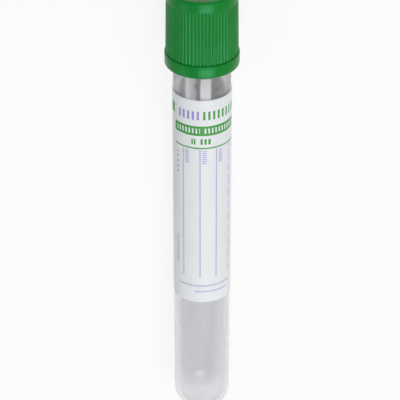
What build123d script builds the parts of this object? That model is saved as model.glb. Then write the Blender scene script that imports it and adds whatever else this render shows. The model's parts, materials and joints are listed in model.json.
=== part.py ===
from build123d import *
from math import acos, atan2, cos, hypot, pi, sin, sqrt, tan
import os

os.makedirs("parts", exist_ok=True)

# A 13 x 100 mm blood collection tube with its label and two-piece closure, all in mm.
# It lies on its side as it comes to rest: its round end and the rim of its cap touch the
# ground, so its axis rises a little towards the cap. Heights run along that axis from the
# closed end, radii run from it, and azimuths turn about it from straight up.

# Where the turned surfaces have their seam
seam_azimuth = 3.2

# Tube: moulded, straight at the foot and drafted above
tube_length = 100.0
mouth_radius = 6.5
foot_radius = 6.34
wall = 1.0
straight_top = 32.0
seal_bore_depth = 12.0
rim_chamfer = 0.2

# Label: one sheet, glued on, its two ends short of meeting
label_thickness = 0.1
label_rise = 0.3
label_width = 52.0
sight_window = 30.0

# Closure: how far the plug and the cap reach down past the mouth
plug_depth = 9.5
skirt_drop = 9.6

# Stopper: moulded rubber, a ringed plug under a broad head
plug_clearance = 0.05
ring_count = 3
ring_height = 1.6
ring_groove_height = 1.4
ring_groove_depth = 0.3
plug_lead = 0.5
cavity_radius = 3.0
cavity_depth = 5.0
head_height = 7.5
head_clearance = 0.05
head_chamfer = 0.3
well_radius = 3.5
well_depth = 4.5

# Cap: moulded shield round the stopper
cap_bore_radius = 7.2
roof_thickness = 1.3
port_radius = 6.4
port_chamfer = 0.3
crown_radius = 7.9
crown_rounding = 0.5
crown_band_height = 2.4
waist_radius = 8.05
skirt_radius = 8.28
skirt_height = 3.1
skirt_rounding = 0.6
shoulder_chamfer = 0.1
catch_clearance = 0.35
catch_height = 1.0
catch_ramp = 0.8
flute_count = 60
flute_depth = 0.18
flute_mouth = 0.52
flute_floor = 0.2

# Dried additive: droplets on the bore as (depth below the mouth, azimuth, radius of the crest)
droplet_height = 0.25
droplet_spread = 30.0
droplets = [
    (13.6, 36.0, 0.3),
    (15.2, 72.0, 0.3),
    (18.9, 196.0, 0.4),
    (34.8, 184.0, 0.4),
]

# Heights and radii that follow
bore_radius = foot_radius - wall
mouth_bore_radius = mouth_radius - wall
seal_bore_foot = tube_length - seal_bore_depth
label_foot = straight_top + label_rise
label_top = label_foot + label_width
plug_radius = mouth_bore_radius - plug_clearance
plug_foot = tube_length - plug_depth
head_radius = cap_bore_radius - head_clearance
head_top = tube_length + head_height
cap_foot = tube_length - skirt_drop
cap_top = head_top + roof_thickness
skirt_top = cap_foot + skirt_height
band_foot = cap_top - crown_band_height
catch_radius = mouth_radius + catch_clearance


# The lying tube touches the ground with its round end and with the edge where the skirt's
# side meets the first flat of its rounding
edge_share = 1 - tan(pi / 16)
rest_height = cap_foot + skirt_rounding * edge_share - foot_radius
rest_distance = hypot(rest_height, skirt_radius)
tilt = acos(foot_radius / rest_distance) - atan2(rest_height, skirt_radius)

# The origin is on the ground, halfway along the object, whose far end is the crown's edge
crown_reach = cap_top * cos(tilt) + (crown_radius - crown_rounding * edge_share) * sin(tilt)
end_centre_x = (foot_radius * (1 + cos(tilt)) - crown_reach) / 2

along = Vector(cos(tilt), 0, sin(tilt))
upward = Vector(-sin(tilt), 0, cos(tilt))
tube_foot = Vector(end_centre_x, 0, foot_radius) - along * foot_radius
tube_axis = Axis(tube_foot, along)


def section(azimuth=seam_azimuth):
    """Plane through the tube's axis: x is the radius at this azimuth, y the height."""
    outward = upward.rotate(Axis((0, 0, 0), along), azimuth)
    return Plane(origin=tube_foot, x_dir=outward, z_dir=outward.cross(along))


def corner(radius, height):
    """Corner of the open profile sketch that stands nearest to this place."""
    return vertices().sort_by_distance((radius, height))[0]


def outside_radius(height):
    """Outside radius of the drafted stretch of the tube."""
    share = (height - straight_top) / (tube_length - straight_top)
    return foot_radius + share * (mouth_radius - foot_radius)


def ease(radius, height, rounding):
    """Round a right-angled corner of the open profile sketch with three flats."""
    chamfer(corner(radius, height), rounding * (2 - sqrt(2)))
    flats = vertices().sort_by_distance((radius, height))[:2]
    chamfer(flats, rounding * (tan(pi / 8) - tan(pi / 16)))


# Tube
with BuildPart() as tube:
    with BuildSketch(section()):
        with BuildLine():
            CenterArc((0, foot_radius), foot_radius, -90, 90)
            Line((foot_radius, foot_radius), (foot_radius, straight_top))
            Bezier((foot_radius, straight_top), (mouth_radius, tube_length))
            Polyline(
                (mouth_radius, tube_length),
                (mouth_bore_radius, tube_length),
                (mouth_bore_radius, seal_bore_foot),
            )
            Bezier((mouth_bore_radius, seal_bore_foot), (bore_radius, straight_top))
            Line((bore_radius, straight_top), (bore_radius, foot_radius))
            CenterArc((0, foot_radius), bore_radius, 0, -90)
            Line((0, wall), (0, 0))
        make_face()
        chamfer(vertices().sort_by(Axis.Y)[-2:], rim_chamfer)
    revolve(axis=tube_axis)

# Dried additive: low drops that spread towards the bore they cling to
with BuildPart() as dried_additive:
    for depth, azimuth, crest in droplets:
        height = tube_length - depth
        outward = section(azimuth).x_dir
        crest_radius = outside_radius(height) - wall - droplet_height
        top = tube_foot + along * height + outward * crest_radius
        with BuildSketch(Plane(origin=top, z_dir=outward)):
            Circle(crest)
        extrude(amount=2 * droplet_height, taper=-droplet_spread)
    with BuildSketch(section()):
        Polygon(
            (0, straight_top),
            (bore_radius, straight_top),
            (mouth_bore_radius, seal_bore_foot),
            (0, seal_bore_foot),
            align=None,
        )
    revolve(axis=tube_axis, mode=Mode.INTERSECT)

# Label: a sheet on the drafted stretch, open at the back as a sight window
label_inside = outside_radius(label_foot), outside_radius(label_top)
label_outside = label_inside[0] + label_thickness, label_inside[1] + label_thickness
with BuildPart() as label:
    with BuildSketch(section(180 + sight_window / 2)):
        with BuildLine():
            Bezier((label_inside[0], label_foot), (label_inside[1], label_top))
            Line((label_inside[1], label_top), (label_outside[1], label_top))
            Bezier((label_outside[1], label_top), (label_outside[0], label_foot))
            Line((label_outside[0], label_foot), (label_inside[0], label_foot))
        make_face()
    revolve(axis=tube_axis, revolution_arc=360 - sight_window)

# Stopper
with BuildPart() as stopper:
    with BuildSketch(section()):
        with Locations((0, plug_foot)):
            Rectangle(plug_radius, plug_depth, align=(Align.MIN, Align.MIN))
        chamfer(vertices().group_by(Axis.Y)[0].sort_by(Axis.X)[-1], plug_lead)
        with Locations((0, tube_length)):
            Rectangle(head_radius, head_height, align=(Align.MIN, Align.MIN))
        chamfer(vertices().group_by(Axis.X)[-1], head_chamfer)
        for ring in range(ring_count):
            groove_top = tube_length - ring_height - ring * (ring_height + ring_groove_height)
            with Locations((plug_radius, groove_top)):
                Rectangle(
                    ring_groove_depth,
                    ring_groove_height,
                    align=(Align.MAX, Align.MAX),
                    mode=Mode.SUBTRACT,
                )
        with Locations((0, plug_foot)):
            Rectangle(
                cavity_radius, cavity_depth, align=(Align.MIN, Align.MIN), mode=Mode.SUBTRACT
            )
        with Locations((0, head_top)):
            Rectangle(well_radius, well_depth, align=(Align.MIN, Align.MAX), mode=Mode.SUBTRACT)
    revolve(axis=tube_axis)

# One flute of the cap's grip, in the cap's own frame, leaning with the draft of its side
draft = atan2(waist_radius - crown_radius, cap_top - skirt_top)
with BuildPart() as flute:
    with BuildSketch(Plane.XY.offset(skirt_top)):
        with BuildLine():
            Polyline(
                (waist_radius - flute_depth, -flute_floor / 2),
                (waist_radius + flute_depth, flute_floor / 2 - flute_mouth),
                (waist_radius + flute_depth, flute_mouth - flute_floor / 2),
                (waist_radius - flute_depth, flute_floor / 2),
                close=True,
            )
        make_face()
    extrude(amount=(band_foot - skirt_top) / cos(draft), dir=(-sin(draft), 0, cos(draft)))

# Cap: roof with a port, fluted side, plain skirt, and a catch under the stopper's head
with BuildPart(Plane(origin=tube_foot, x_dir=upward, z_dir=along)) as cap:
    with BuildSketch(section()):
        with BuildLine():
            Polyline(
                (cap_bore_radius, cap_foot),
                (skirt_radius, cap_foot),
                (skirt_radius, skirt_top),
                (waist_radius, skirt_top),
                (crown_radius, cap_top),
                (port_radius, cap_top),
                (port_radius, head_top),
                (cap_bore_radius, head_top),
                (cap_bore_radius, tube_length),
                (catch_radius, tube_length),
                (catch_radius, tube_length - catch_height),
                (cap_bore_radius, tube_length - catch_height - catch_ramp),
                close=True,
            )
        make_face()
        ease(skirt_radius, cap_foot, skirt_rounding)
        ease(crown_radius, cap_top, crown_rounding)
        chamfer(corner(skirt_radius, skirt_top), shoulder_chamfer)
        chamfer(corner(port_radius, cap_top), port_chamfer)
    revolve(axis=tube_axis)
    with PolarLocations(0, flute_count):
        add(flute.part, mode=Mode.SUBTRACT)

tube.part.label = "tube"
dried_additive.part.label = "dried_additive"
label.part.label = "label"
stopper.part.label = "stopper"
cap.part.label = "cap"

export_step(tube.part, "parts/tube.step")
export_step(dried_additive.part, "parts/dried_additive.step")
export_step(label.part, "parts/label.step")
export_step(stopper.part, "parts/stopper.step")
export_step(cap.part, "parts/cap.step")
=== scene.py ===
import json
from math import atan2, cos, degrees, hypot, pi, radians, sin

import bpy
from mathutils import Matrix, Vector

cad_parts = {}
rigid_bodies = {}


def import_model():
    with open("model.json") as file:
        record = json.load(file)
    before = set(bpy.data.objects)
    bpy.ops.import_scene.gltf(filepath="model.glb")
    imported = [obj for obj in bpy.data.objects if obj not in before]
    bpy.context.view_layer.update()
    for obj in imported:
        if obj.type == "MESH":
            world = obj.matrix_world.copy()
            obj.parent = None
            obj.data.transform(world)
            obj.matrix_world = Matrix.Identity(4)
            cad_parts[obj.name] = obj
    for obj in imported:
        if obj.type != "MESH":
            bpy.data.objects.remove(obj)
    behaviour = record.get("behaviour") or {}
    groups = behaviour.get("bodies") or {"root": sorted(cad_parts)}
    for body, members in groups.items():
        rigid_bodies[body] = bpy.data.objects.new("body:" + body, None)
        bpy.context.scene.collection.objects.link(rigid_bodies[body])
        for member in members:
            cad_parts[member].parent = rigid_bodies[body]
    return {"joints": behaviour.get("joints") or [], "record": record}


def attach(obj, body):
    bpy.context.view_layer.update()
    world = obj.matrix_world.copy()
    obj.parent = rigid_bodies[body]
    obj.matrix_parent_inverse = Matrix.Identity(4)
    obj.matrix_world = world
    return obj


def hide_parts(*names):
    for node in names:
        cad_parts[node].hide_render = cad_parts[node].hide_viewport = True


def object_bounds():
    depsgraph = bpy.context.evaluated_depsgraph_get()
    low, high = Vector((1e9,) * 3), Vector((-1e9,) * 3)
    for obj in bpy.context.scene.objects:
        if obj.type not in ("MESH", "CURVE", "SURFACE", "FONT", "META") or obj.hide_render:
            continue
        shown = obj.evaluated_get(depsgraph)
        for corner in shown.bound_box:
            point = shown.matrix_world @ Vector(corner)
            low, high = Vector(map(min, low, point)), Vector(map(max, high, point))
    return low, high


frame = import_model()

# A 13 x 100 mm blood collection tube, lying where it comes to rest. Each piece is shaped
# standing on its closed end in millimetres, then laid down: its own Z becomes the tube's
# axis, X points up from it and Y across. Azimuths turn about the axis from straight up.

cad_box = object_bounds()
MM = 0.001
along = Vector(frame["joints"][0]["axis"]).normalized()
across = along.cross(Vector((0, 0, 1))).normalized()
upward = across.cross(along)
shank = next(mount for mount in frame["record"]["mounts"] if mount["name"] == "rack_shank")
foot_radius = shank["dims"]["r_mm"]
foot_centre = Vector(shank["pos_m"]) - along * shank["dims"]["length_mm"] / 2 * MM
closed_end = foot_centre - along * foot_radius * MM
turned = Matrix((upward, across, along)).transposed().to_4x4()
laid = Matrix.Translation(closed_end) @ turned @ Matrix.Scale(MM, 4)
for leftover in [item for item in bpy.data.objects if item.name in ("Cube", "Light", "Camera")]:
    bpy.data.objects.remove(leftover)
bpy.ops.object.select_all(action="DESELECT")

# Tube: one injection moulding in clear plastic with a slight haze. Its round end and the
# stretch above it are straight, the rest widens a little so that it leaves the mould.
tube_length = 100.0
mouth_radius = 6.5
wall = 1.0
straight_top = 32.0
seal_bore_foot = 88.0
rim_rounding = 0.3
round_end_steps = 24
rim_steps = 4
bore_radius = foot_radius - wall
mouth_bore_radius = mouth_radius - wall


def outside_radius(height):
    """Outside radius of the tube's drafted stretch."""
    share = (height - straight_top) / (tube_length - straight_top)
    return foot_radius + share * (mouth_radius - foot_radius)


def arc(centre, radius, start, end, steps):
    """Points of an arc of an outline, as (radius, height), with its angles in degrees."""
    turns = [radians(start + (end - start) * step / steps) for step in range(steps + 1)]
    return [(centre[0] + radius * cos(turn), centre[1] + radius * sin(turn)) for turn in turns]


def spin_up(name, outline, steps, start=0.0, sweep=360.0):
    """Extrude an outline of (radius, height) point by point and spin it about the axis."""
    bpy.ops.mesh.primitive_plane_add(size=0.1, location=(outline[0][0], 0, outline[0][1]))
    piece = bpy.context.object
    piece.name = piece.data.name = name
    bpy.ops.object.transform_apply(location=True, rotation=True, scale=True)
    bpy.ops.object.mode_set(mode="EDIT")
    bpy.ops.mesh.select_mode(type="VERT")
    bpy.ops.mesh.merge(type="CENTER")
    for before, after in zip(outline, outline[1:]):
        step = (after[0] - before[0], 0, after[1] - before[1])
        bpy.ops.mesh.extrude_region_move(TRANSFORM_OT_translate={"value": step})
    bpy.ops.mesh.select_all(action="SELECT")
    bpy.ops.transform.rotate(
        value=-radians(start), orient_axis="Z", center_override=(0, 0, 0)
    )
    bpy.ops.mesh.spin(steps=steps, angle=radians(sweep), center=(0, 0, 0), axis=(0, 0, 1))
    bpy.ops.mesh.select_all(action="SELECT")
    bpy.ops.mesh.remove_doubles(threshold=0.0005)
    bpy.ops.mesh.normals_make_consistent(inside=False)
    bpy.ops.mesh.select_all(action="DESELECT")
    bpy.ops.object.mode_set(mode="OBJECT")
    return piece


def finish_piece(piece, material, node, body, crease=35.0):
    """Shade the piece, lay it down, dress it, and let it stand for its solid."""
    bpy.ops.object.select_all(action="DESELECT")
    piece.select_set(True)
    bpy.context.view_layer.objects.active = piece
    bpy.ops.object.shade_smooth_by_angle(angle=radians(crease))
    piece.matrix_world = laid
    bpy.ops.object.transform_apply(location=True, rotation=True, scale=True)
    piece.data.materials.clear()
    piece.data.materials.append(material)
    bpy.ops.object.select_all(action="DESELECT")
    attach(piece, body)
    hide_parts(node)


tube_outline = (
    arc((0, foot_radius), foot_radius, -90, 0, round_end_steps)
    + arc((mouth_radius - rim_rounding, tube_length - rim_rounding), rim_rounding, 0, 90, rim_steps)
    + arc(
        (mouth_bore_radius + rim_rounding, tube_length - rim_rounding),
        rim_rounding,
        90,
        180,
        rim_steps,
    )
    + [(mouth_bore_radius, seal_bore_foot), (bore_radius, straight_top)]
    + arc((0, foot_radius), bore_radius, 0, -90, round_end_steps)
)
tube_outline.insert(round_end_steps + 1, (foot_radius, straight_top))
tube = spin_up("tube_shell", tube_outline, steps=144)


def new_material(name):
    """A node material, its node tree and its Principled shader."""
    material = bpy.data.materials.new(name)
    material.use_nodes = True
    tree = material.node_tree
    return material, tree, tree.nodes["Principled BSDF"]


def add(tree, kind, settings=(), inputs=()):
    """Add a node with its settings, its input values and its input links."""
    node = tree.nodes.new(kind)
    for name, value in dict(settings).items():
        setattr(node, name, value)
    for name, value in dict(inputs).items():
        if isinstance(value, bpy.types.NodeSocket):
            tree.links.new(value, node.inputs[name])
        else:
            node.inputs[name].default_value = value
    return node


clear_plastic, tree, shader = new_material("clear_plastic")
shader.inputs["Base Color"].default_value = (0.895, 0.9, 0.92, 1)
shader.inputs["Transmission Weight"].default_value = 1.0
shader.inputs["IOR"].default_value = 1.57
shader.inputs["Sheen Weight"].default_value = 0.5
shader.inputs["Coat Weight"].default_value = 0.5
shader.inputs["Coat Roughness"].default_value = 0.12
place = add(tree, "ShaderNodeTexCoord")
haze = add(
    tree, "ShaderNodeTexNoise", inputs={"Vector": place.outputs["Object"], "Scale": 400.0}
)
haze_range = add(
    tree,
    "ShaderNodeMapRange",
    inputs={"Value": haze.outputs["Fac"], "To Min": 0.14, "To Max": 0.17},
)
tree.links.new(haze_range.outputs["Result"], shader.inputs["Roughness"])
finish_piece(tube, clear_plastic, "tube", "tube")

# Dried additive: small drops of the sprayed powder that dried where they ran on the bore.
# Each is given as its depth below the mouth, its azimuth and its radius.
droplet_height = 0.25
droplet_sink = 0.02
droplets = [
    (13.6, 36.0, 0.44),
    (15.2, 72.0, 0.44),
    (18.9, 196.0, 0.54),
    (34.8, 184.0, 0.54),
]
drop_layers = 5
layer_share = 0.9
drops = []
for depth, azimuth, spread in droplets:
    height = tube_length - depth
    seat = outside_radius(height) - wall + droplet_sink
    bpy.ops.mesh.primitive_circle_add(vertices=24, radius=spread, fill_type="NGON")
    drop = bpy.context.object
    bpy.ops.object.mode_set(mode="EDIT")
    bpy.ops.mesh.select_all(action="SELECT")
    for layer in range(drop_layers):
        low = radians(90 * layer / drop_layers)
        high = radians(90 * (layer + layer_share) / drop_layers)
        rise = (droplet_height + droplet_sink) * (sin(high) - sin(low))
        bpy.ops.mesh.extrude_region_move(TRANSFORM_OT_translate={"value": (0, 0, rise)})
        shrink = cos(high) / cos(low)
        bpy.ops.transform.resize(value=(shrink, shrink, 1), center_override=(0, 0, 0))
    bpy.ops.object.mode_set(mode="OBJECT")
    drop.matrix_world = (
        Matrix.Rotation(radians(azimuth), 4, "Z")
        @ Matrix.Translation((seat, 0, height))
        @ Matrix.Rotation(radians(-90), 4, "Y")
    )
    drops.append(drop)
bpy.ops.object.select_all(action="DESELECT")
for drop in drops:
    drop.select_set(True)
bpy.context.view_layer.objects.active = drops[0]
bpy.ops.object.transform_apply(location=True, rotation=True, scale=True)
bpy.ops.object.join()
drop_group = bpy.context.object
drop_group.name = drop_group.data.name = "dried_drops"

dull_powder, tree, shader = new_material("dull_powder")
place = add(tree, "ShaderNodeTexCoord")
grains = add(
    tree,
    "ShaderNodeTexNoise",
    inputs={"Vector": place.outputs["Object"], "Scale": 9000.0, "Detail": 3.0},
)
powder_tone = add(tree, "ShaderNodeValToRGB", inputs={"Fac": grains.outputs["Fac"]})
powder_tone.color_ramp.elements[0].color = (0.08, 0.08, 0.08, 1)
powder_tone.color_ramp.elements[1].color = (0.2, 0.2, 0.2, 1)
tree.links.new(powder_tone.outputs["Color"], shader.inputs["Base Color"])
shader.inputs["Roughness"].default_value = 0.8
powder_bump = add(
    tree,
    "ShaderNodeBump",
    inputs={"Height": grains.outputs["Fac"], "Strength": 0.5, "Distance": 0.00005},
)
tree.links.new(powder_bump.outputs["Normal"], shader.inputs["Normal"])
finish_piece(drop_group, dull_powder, "dried_additive", "tube")

# Label: coated paper, printed, wrapped round the drafted stretch and glued. Its ends stop
# short of each other at the back, so that the blood can be seen through the window there.
label_foot = 32.3
label_width = 52.0
label_thickness = 0.1
label_lift = 0.01
sight_window = 30.0
label_top = label_foot + label_width
half_wrap = 180 - sight_window / 2
label_inside = [outside_radius(height) + label_lift for height in (label_foot, label_top)]
label_outline = [
    (label_inside[0], label_foot),
    (label_inside[0] + label_thickness, label_foot),
    (label_inside[1] + label_thickness, label_top),
    (label_inside[1], label_top),
    (label_inside[0], label_foot),
]
label = spin_up("paper_label", label_outline, steps=132, start=-half_wrap, sweep=2 * half_wrap)
bpy.ops.object.mode_set(mode="EDIT")
bpy.ops.mesh.select_all(action="SELECT")
bpy.ops.mesh.fill_holes(sides=4)
bpy.ops.mesh.normals_make_consistent(inside=False)
bpy.ops.object.mode_set(mode="OBJECT")
sheet_map = label.data.uv_layers.new(name="sheet")
for corner in label.data.loops:
    spot = label.data.vertices[corner.vertex_index].co
    azimuth = degrees(atan2(spot.y, spot.x))
    share_round = (azimuth + half_wrap) / (2 * half_wrap)
    sheet_map.data[corner.index].uv = (share_round, (spot.z - label_foot) / label_width)


def new_group(name, inputs, outputs):
    """A shader node group with named float inputs and outputs."""
    group = bpy.data.node_groups.new(name, "ShaderNodeTree")
    for socket in inputs:
        group.interface.new_socket(socket, in_out="INPUT", socket_type="NodeSocketFloat")
    for socket in outputs:
        group.interface.new_socket(socket, in_out="OUTPUT", socket_type="NodeSocketFloat")
    return group, group.nodes.new("NodeGroupInput"), group.nodes.new("NodeGroupOutput")


def compute(tree, operation, first, second=0.0):
    """The output of a Math node."""
    node = add(tree, "ShaderNodeMath", {"operation": operation}, {0: first, 1: second})
    return node.outputs[0]


# A printed strip: a solid or broken stroke of ink that runs from one place to another,
# with Share of each Pitch inked
strip_group, ends, result = new_group(
    "printed_strip",
    ["Along", "Beside", "From", "To", "Middle", "Width", "Pitch", "Share"],
    ["Mask"],
)
past_start = compute(strip_group, "SUBTRACT", ends.outputs["Along"], ends.outputs["From"])
repeats = compute(strip_group, "DIVIDE", past_start, ends.outputs["Pitch"])
repeat_share = compute(strip_group, "FRACT", repeats)
inked = compute(strip_group, "LESS_THAN", repeat_share, ends.outputs["Share"])
after_start = compute(strip_group, "GREATER_THAN", past_start, 0.0)
before_end = compute(strip_group, "LESS_THAN", ends.outputs["Along"], ends.outputs["To"])
from_middle = compute(strip_group, "SUBTRACT", ends.outputs["Beside"], ends.outputs["Middle"])
doubled = compute(strip_group, "MULTIPLY", compute(strip_group, "ABSOLUTE", from_middle), 2.0)
in_width = compute(strip_group, "LESS_THAN", doubled, ends.outputs["Width"])
in_length = compute(strip_group, "MULTIPLY", after_start, before_end)
in_field = compute(strip_group, "MULTIPLY", in_length, in_width)
strip_group.links.new(compute(strip_group, "MULTIPLY", in_field, inked), result.inputs["Mask"])

paper, tree, shader = new_material("printed_paper")
sheet = add(tree, "ShaderNodeUVMap", {"uv_map": "sheet"})
split = add(tree, "ShaderNodeSeparateXYZ", inputs={"Vector": sheet.outputs["UV"]})
sheet_length = radians(2 * half_wrap) * label_inside[0]
degree = sheet_length / (2 * half_wrap)
offset = add(
    tree,
    "ShaderNodeMath",
    {"operation": "MULTIPLY_ADD"},
    {0: split.outputs["X"], 1: sheet_length, 2: -sheet_length / 2},
)
rise = add(
    tree,
    "ShaderNodeMath",
    {"operation": "MULTIPLY_ADD"},
    {0: split.outputs["Y"], 1: label_width, 2: label_foot},
)
ink_wander = 0.08
place = add(tree, "ShaderNodeTexCoord")
fibres = add(
    tree,
    "ShaderNodeTexNoise",
    inputs={"Vector": place.outputs["Object"], "Scale": 2500.0, "Detail": 4.0},
)
ink_edge = add(
    tree,
    "ShaderNodeMath",
    {"operation": "MULTIPLY_ADD"},
    {0: fibres.outputs["Fac"], 1: ink_wander, 2: -ink_wander / 2},
)
round_mm = compute(tree, "ADD", offset.outputs[0], ink_edge.outputs[0])
height_mm = compute(tree, "ADD", rise.outputs[0], ink_edge.outputs[0])


def strip(start, end, middle, width, pitch=1000.0, share=1.0, upright=False):
    """The mask of one printed strip. Upright strips run up the tube, others round it."""
    ways = (height_mm, round_mm) if upright else (round_mm, height_mm)
    values = (*ways, start, end, middle, width, pitch, share)
    names = ("Along", "Beside", "From", "To", "Middle", "Width", "Pitch", "Share")
    node = add(tree, "ShaderNodeGroup", {"node_tree": strip_group}, zip(names, values))
    return node.outputs["Mask"]


def together(masks):
    """The mask of several strips in one ink."""
    whole = masks[0]
    for mask in masks[1:]:
        whole = compute(tree, "MAXIMUM", whole, mask)
    return whole


bar_row = 80.5
bar_width = 2.1
bar_pitch = 1.1
dash_share = 0.45
band_row = 76.7
amount_row = 74.0
amount_width = 1.4
rule_foot = 38.8
rule_top = 72.0
rule_width = 0.25
foot_line_width = 0.5
panel_start = -63 * degree
panel_end = 112 * degree
green_ink = together(
    [
        strip(panel_start, panel_end, band_row, 2.4),
        strip(panel_start, panel_end, 72.35, 0.34),
        strip(-82 * degree, -66 * degree, 80.7, 2.5),
        strip(2 * degree, 100 * degree, bar_row, bar_width, bar_pitch, dash_share),
        strip(-21 * degree, -13 * degree, amount_row, amount_width, 0.55, 0.6),
        strip(-3 * degree, 19 * degree, amount_row, amount_width, 0.85, 0.6),
    ]
)
band_gaps = together(
    [
        strip(-56 * degree, -4 * degree, band_row, 1.3, 0.8, dash_share),
        strip(5 * degree, 104 * degree, band_row, 1.3, 0.8, dash_share),
    ]
)
lines = [
    strip(rule_foot, rule_top, azimuth * degree, rule_width, upright=True)
    for azimuth in (-39.4, -3.9, 29.4)
]
words = [
    strip(68.4, 71.7, azimuth * degree, 1.0, 0.5, 0.5, upright=True)
    for azimuth in (-31.0, 4.8, 38.5)
]
violet_ink = strip(-50 * degree, -2 * degree, bar_row, bar_width, bar_pitch, dash_share)
fine_print = together(
    lines
    + words
    + [
        strip(rule_foot, rule_top, 64.5 * degree, rule_width, 3.2, 0.8, upright=True),
        strip(65.0, 70.6, -54.5 * degree, 0.6, 1.3, 0.45, upright=True),
        strip(42.0, 49.0, -55.0 * degree, 0.7, 0.5, 0.5, upright=True),
        strip(-50 * degree, 66 * degree, 36.6, foot_line_width, 0.5, 0.6),
        strip(-14 * degree, 57 * degree, 35.1, foot_line_width, 0.5, 0.6),
    ]
)


def ink_over(under, mask, colour):
    """Print an ink over what lies under it."""
    node = add(
        tree,
        "ShaderNodeMix",
        {"data_type": "RGBA"},
        {"Factor": mask, "A": under, "B": (*colour, 1)},
    )
    return node.outputs[2]


paper_tone = add(tree, "ShaderNodeValToRGB", inputs={"Fac": fibres.outputs["Fac"]})
paper_tone.color_ramp.elements[0].color = (0.79, 0.82, 0.86, 1)
paper_tone.color_ramp.elements[1].color = (0.85, 0.875, 0.91, 1)
printed = ink_over(paper_tone.outputs["Color"], fine_print, (0.44, 0.42, 0.72))
printed = ink_over(printed, violet_ink, (0.3, 0.27, 0.66))
printed = ink_over(printed, green_ink, (0.045, 0.33, 0.05))
printed = ink_over(printed, band_gaps, (0.8, 0.82, 0.86))
tree.links.new(printed, shader.inputs["Base Color"])
shader.inputs["Roughness"].default_value = 0.45
shader.inputs["Specular IOR Level"].default_value = 0.3
shader.inputs["Subsurface Weight"].default_value = 0.7
shader.inputs["Subsurface Radius"].default_value = (1, 1, 1)
shader.inputs["Subsurface Scale"].default_value = 0.0003
paper_bump = add(
    tree,
    "ShaderNodeBump",
    inputs={"Height": fibres.outputs["Fac"], "Strength": 0.2, "Distance": 0.00002},
)
tree.links.new(paper_bump.outputs["Normal"], shader.inputs["Normal"])
finish_piece(label, paper, "label", "tube")

# Stopper: moulded butyl rubber. Its ringed plug seals the bore, its broad head sits on the
# mouth inside the cap, and a needle pierces the thin middle below the well in its top.
plug_depth = 9.5
plug_clearance = 0.05
ring_count = 3
ring_height = 1.6
ring_groove_height = 1.4
ring_groove_depth = 0.3
cavity_radius = 3.0
cavity_depth = 5.0
head_height = 7.5
head_radius = 7.15
well_radius = 3.5
well_depth = 4.5
rubber_rounding = 0.25
plug_lead = 0.5
least_ring = 0.3
plug_radius = mouth_bore_radius - plug_clearance
plug_foot = tube_length - plug_depth
head_top = tube_length + head_height


def softened(radius, height, rounding, start, turn=90, steps=3):
    """Arc that rounds an outline's right-angled corner, entered at the angle start."""
    middle = radians(start + turn / 2)
    reach = rounding * 2**0.5 * (1 if turn > 0 else -1)
    centre = (radius - abs(reach) * cos(middle), height - abs(reach) * sin(middle))
    return arc(centre, rounding, start, start + turn, steps)


stopper_outline = [(0, plug_foot + cavity_depth)]
stopper_outline += [(cavity_radius, plug_foot + cavity_depth)]
stopper_outline += arc(
    (cavity_radius + rubber_rounding, plug_foot + rubber_rounding), rubber_rounding, 180, 270, 3
)
stopper_outline += softened(plug_radius, plug_foot, plug_lead, -90, steps=4)
for ring in reversed(range(ring_count)):
    groove_top = tube_length - ring_height - ring * (ring_height + ring_groove_height)
    groove_foot = groove_top - ring_groove_height
    groove_radius = plug_radius - ring_groove_depth
    if groove_foot > plug_foot + least_ring:
        stopper_outline += softened(plug_radius, groove_foot, rubber_rounding / 2, 0)
        stopper_outline += [(groove_radius, groove_foot)]
        stopper_outline += [(groove_radius, groove_top)]
        stopper_outline += softened(plug_radius, groove_top, rubber_rounding / 2, -90)
stopper_outline += [(plug_radius, tube_length)]
stopper_outline += softened(head_radius, tube_length, rubber_rounding, -90)
stopper_outline += softened(head_radius, head_top, rubber_rounding, 0)
stopper_outline += softened(well_radius, head_top, rubber_rounding, 90)
stopper_outline += [(well_radius, head_top - well_depth), (0, head_top - well_depth)]
stopper = spin_up("rubber_stopper", stopper_outline, steps=96)

rubber, tree, shader = new_material("butyl_rubber")
place = add(tree, "ShaderNodeTexCoord")
bloom = add(
    tree,
    "ShaderNodeTexNoise",
    inputs={"Vector": place.outputs["Object"], "Scale": 1800.0, "Detail": 5.0},
)
rubber_tone = add(tree, "ShaderNodeValToRGB", inputs={"Fac": bloom.outputs["Fac"]})
rubber_tone.color_ramp.elements[0].color = (0.14, 0.1, 0.09, 1)
rubber_tone.color_ramp.elements[1].color = (0.24, 0.18, 0.16, 1)
tree.links.new(rubber_tone.outputs["Color"], shader.inputs["Base Color"])
shader.inputs["Roughness"].default_value = 0.65
rubber_bump = add(
    tree,
    "ShaderNodeBump",
    inputs={"Height": bloom.outputs["Fac"], "Strength": 0.3, "Distance": 0.00003},
)
tree.links.new(rubber_bump.outputs["Normal"], shader.inputs["Normal"])
finish_piece(stopper, rubber, "stopper", "closure")

# Cap: a polyethylene shield moulded round the stopper's head. The catch inside holds the
# head, the fluted side gives a grip, and the plain skirt reaches down over the tube.
skirt_drop = 9.6
roof_thickness = 1.3
port_radius = 6.4
crown_radius = 7.9
crown_rounding = 0.5
crown_band_height = 2.4
waist_radius = 8.05
skirt_radius = 8.28
skirt_height = 3.1
skirt_rounding = 0.6
shoulder_rounding = 0.12
cap_bore_radius = 7.2
catch_radius = 6.85
catch_height = 1.0
catch_ramp = 0.8
foot_edge_rounding = 0.2
port_rounding = 0.3
seat_gap = 0.02
flute_count = 60
flute_depth = 0.18
points_per_flute = 8
flank_share = 0.35
fade_share = 0.45
flute_starts = (0.02, 0.1)
flute_ends = (-0.35, -0.12)
band_starts = (0.05, 0.2)
same_height = 0.005
same_step = 0.25
cap_foot = tube_length - skirt_drop
cap_top = head_top + roof_thickness
skirt_top = cap_foot + skirt_height
band_foot = cap_top - crown_band_height


def side_radius(height):
    """Outside radius of the cap's side between the skirt and the crown."""
    share = (height - skirt_top) / (cap_top - skirt_top)
    return waist_radius + share * (crown_radius - waist_radius)


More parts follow.
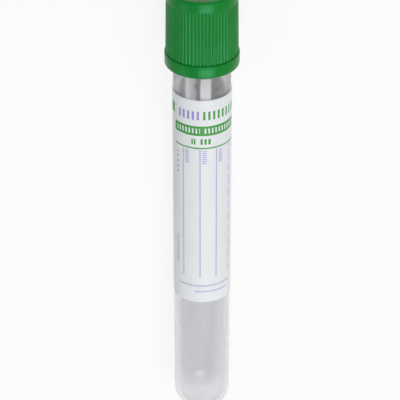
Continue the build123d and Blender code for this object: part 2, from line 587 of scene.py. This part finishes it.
side_heights = [skirt_top + rise for rise in flute_starts]
side_heights += [band_foot + rise for rise in flute_ends + band_starts]
foot_edge = (cap_bore_radius + foot_edge_rounding, cap_foot + foot_edge_rounding)
cap_outline = arc(foot_edge, foot_edge_rounding, 180, 270, 3)
cap_outline += softened(skirt_radius, cap_foot, skirt_rounding, -90, steps=6)
cap_outline += softened(skirt_radius, skirt_top, shoulder_rounding, 0)
cap_outline += [(side_radius(height), height) for height in side_heights]
cap_outline += softened(side_radius(cap_top), cap_top, crown_rounding, 0, steps=6)
cap_outline += arc((port_radius + port_rounding, cap_top - port_rounding), port_rounding, 90, 180, 4)
cap_outline += [
    (port_radius, head_top + seat_gap),
    (cap_bore_radius, head_top + seat_gap),
    (cap_bore_radius, tube_length - seat_gap),
    (catch_radius, tube_length - seat_gap),
    (catch_radius, tube_length - catch_height),
    (cap_bore_radius, tube_length - catch_height - catch_ramp),
    (cap_bore_radius, cap_foot + foot_edge_rounding),
]
cap = spin_up("fluted_cap", cap_outline, steps=flute_count * points_per_flute)

# The flutes are pressed in: full depth on the floor of each, about a third of it on the
# flanks, and less where they fade out under the crown band
bpy.ops.object.mode_set(mode="EDIT")
bpy.ops.mesh.select_mode(type="VERT")
bpy.ops.mesh.select_all(action="DESELECT")
bpy.ops.object.mode_set(mode="OBJECT")
pitch = 2 * pi / flute_count
for steps_out, depth in ((0, flute_depth), (1, flute_depth), (2, flank_share * flute_depth)):
    for height, share in (
        (side_heights[0], 1.0),
        (side_heights[1], 1.0),
        (side_heights[2], 1.0),
        (side_heights[3], fade_share),
    ):
        for vertex in cap.data.vertices:
            spot = vertex.co
            turn = atan2(spot.y, spot.x) / pitch * points_per_flute
            from_floor = abs((turn + points_per_flute / 2) % points_per_flute - points_per_flute / 2)
            on_side = hypot(spot.x, spot.y) > foot_edge[0]
            at_height = abs(spot.z - height) < same_height
            at_step = abs(from_floor - steps_out) < same_step
            vertex.select = on_side and at_height and at_step
        bpy.ops.object.mode_set(mode="EDIT")
        shrink = 1 - depth * share / side_radius(height)
        bpy.ops.transform.resize(value=(shrink, shrink, 1), center_override=(0, 0, 0))
        bpy.ops.mesh.select_all(action="DESELECT")
        bpy.ops.object.mode_set(mode="OBJECT")

green_plastic, tree, shader = new_material("green_plastic")
place = add(tree, "ShaderNodeTexCoord")
flow = add(
    tree,
    "ShaderNodeTexNoise",
    inputs={"Vector": place.outputs["Object"], "Scale": 220.0, "Detail": 3.0},
)
plastic_tone = add(tree, "ShaderNodeValToRGB", inputs={"Fac": flow.outputs["Fac"]})
plastic_tone.color_ramp.elements[0].color = (0.001, 0.155, 0.01, 1)
plastic_tone.color_ramp.elements[1].color = (0.002, 0.205, 0.02, 1)
tree.links.new(plastic_tone.outputs["Color"], shader.inputs["Base Color"])
shader.inputs["Roughness"].default_value = 0.28
shader.inputs["Specular IOR Level"].default_value = 0.3
shader.inputs["Specular Tint"].default_value = (0.35, 1.0, 0.7, 1)
peel = add(
    tree,
    "ShaderNodeTexNoise",
    inputs={"Vector": place.outputs["Object"], "Scale": 5000.0, "Detail": 2.0},
)
peel_bump = add(
    tree,
    "ShaderNodeBump",
    inputs={"Height": peel.outputs["Fac"], "Strength": 0.25, "Distance": 0.00002},
)
tree.links.new(peel_bump.outputs["Normal"], shader.inputs["Normal"])
finish_piece(cap, green_plastic, "cap", "closure", crease=50.0)

# Floor: a plain pale surface that the tube lies on. It keeps the tube's shadow, and is
# lifted towards white where the eye or gloss sees it, and less through the clear wall.
floor_size = 6.0
floor_white = 0.98
floor_lift = 0.86
shown_through_share = 0.6
bpy.ops.mesh.primitive_plane_add(size=floor_size, location=(0, 0, cad_box[0].z))
floor = bpy.context.object
floor.name = "floor"
pale_floor, tree, shader = new_material("pale_floor")
shader.inputs["Base Color"].default_value = (0.92, 0.92, 0.92, 1)
shader.inputs["Roughness"].default_value = 0.9
shader.inputs["Specular IOR Level"].default_value = 0.0
path = add(tree, "ShaderNodeLightPath")
seen = compute(tree, "MAXIMUM", path.outputs["Is Camera Ray"], path.outputs["Is Glossy Ray"])
seen_through = compute(tree, "MULTIPLY", path.outputs["Is Transmission Ray"], shown_through_share)
lift = compute(tree, "MULTIPLY", compute(tree, "SUBTRACT", seen, seen_through), floor_lift)
white = add(tree, "ShaderNodeEmission", inputs={"Color": (1, 1, 1, 1), "Strength": floor_white})
lifted = add(
    tree,
    "ShaderNodeMixShader",
    inputs={0: lift, 1: shader.outputs["BSDF"], 2: white.outputs["Emission"]},
)
tree.links.new(lifted.outputs["Shader"], tree.nodes["Material Output"].inputs["Surface"])
floor.data.materials.append(pale_floor)

# Room: even pale light from all round. It is white where it is seen, and plain and lower
# where it lights the tube.
room_light = 0.42
room_white = 0.98
scene = bpy.context.scene
scene.view_settings.view_transform = "Standard"
room = bpy.data.worlds.new("room")
scene.world = room
room.use_nodes = True
tree = room.node_tree
path = add(tree, "ShaderNodeLightPath")
seen = compute(tree, "MAXIMUM", path.outputs["Is Camera Ray"], path.outputs["Is Transmission Ray"])
seen = compute(tree, "MAXIMUM", seen, path.outputs["Is Glossy Ray"])
strength = add(
    tree,
    "ShaderNodeMapRange",
    inputs={"Value": seen, "To Min": room_light, "To Max": room_white},
)
background = tree.nodes["Background"]
background.inputs["Color"].default_value = (1, 1, 1, 1)
tree.links.new(strength.outputs["Result"], background.inputs["Strength"])


def softbox(name, aim_height, azimuth, lean, distance, size, watts):
    """A soft lamp aimed at a height on the tube, at an azimuth about it, leaning to its cap.

    Its size is given across the tube and along it."""
    way = turned.to_3x3() @ Vector(
        (
            cos(radians(azimuth)) * cos(radians(lean)),
            sin(radians(azimuth)) * cos(radians(lean)),
            sin(radians(lean)),
        )
    )
    lamp = bpy.data.lights.new(name, "AREA")
    lamp.shape = "RECTANGLE"
    lamp.size, lamp.size_y = size
    lamp.energy = watts
    holder = bpy.data.objects.new(name, lamp)
    scene.collection.objects.link(holder)
    side = along.cross(way).normalized()
    holder.matrix_world = Matrix.Translation(laid @ Vector((0, 0, aim_height)) + way * distance) @ (
        Matrix((side, way.cross(side), way)).transposed().to_4x4()
    )


softbox(
    "window", aim_height=55, azimuth=18, lean=-7, distance=0.45, size=(0.36, 0.4), watts=0.36
)
softbox(
    "fill", aim_height=80, azimuth=18, lean=36, distance=0.6, size=(0.5, 0.5), watts=0.7
)
softbox(
    "cap_light", aim_height=96, azimuth=13, lean=-27, distance=0.5, size=(0.34, 0.13), watts=0.9
)
softbox(
    "left_cap_light", aim_height=96, azimuth=-58, lean=-27, distance=0.5, size=(0.16, 0.13), watts=0.12
)

# Camera: above the lying tube, leaning to its cap, with the cap at the top of the view.
# Its heights and distance are in millimetres in the tube's own frame.
lens = 282.3
view_height = 55.4
view_lean = 30.27
view_distance = 706.5
view_aside = -0.45
nearest_seen = 0.05
farthest_seen = 20
camera = bpy.data.objects.new("camera", bpy.data.cameras.new("camera"))
scene.collection.objects.link(camera)
scene.camera = camera
camera.data.lens = lens
camera.data.clip_start = nearest_seen
camera.data.clip_end = farthest_seen
aim = laid @ Vector((0, view_aside, view_height))
back = (turned @ Vector((cos(radians(view_lean)), 0, sin(radians(view_lean))))).normalized()
top = back.cross(across)
camera.matrix_world = Matrix.Translation(aim + back * view_distance * MM) @ (
    Matrix((across, top, back)).transposed().to_4x4()
)
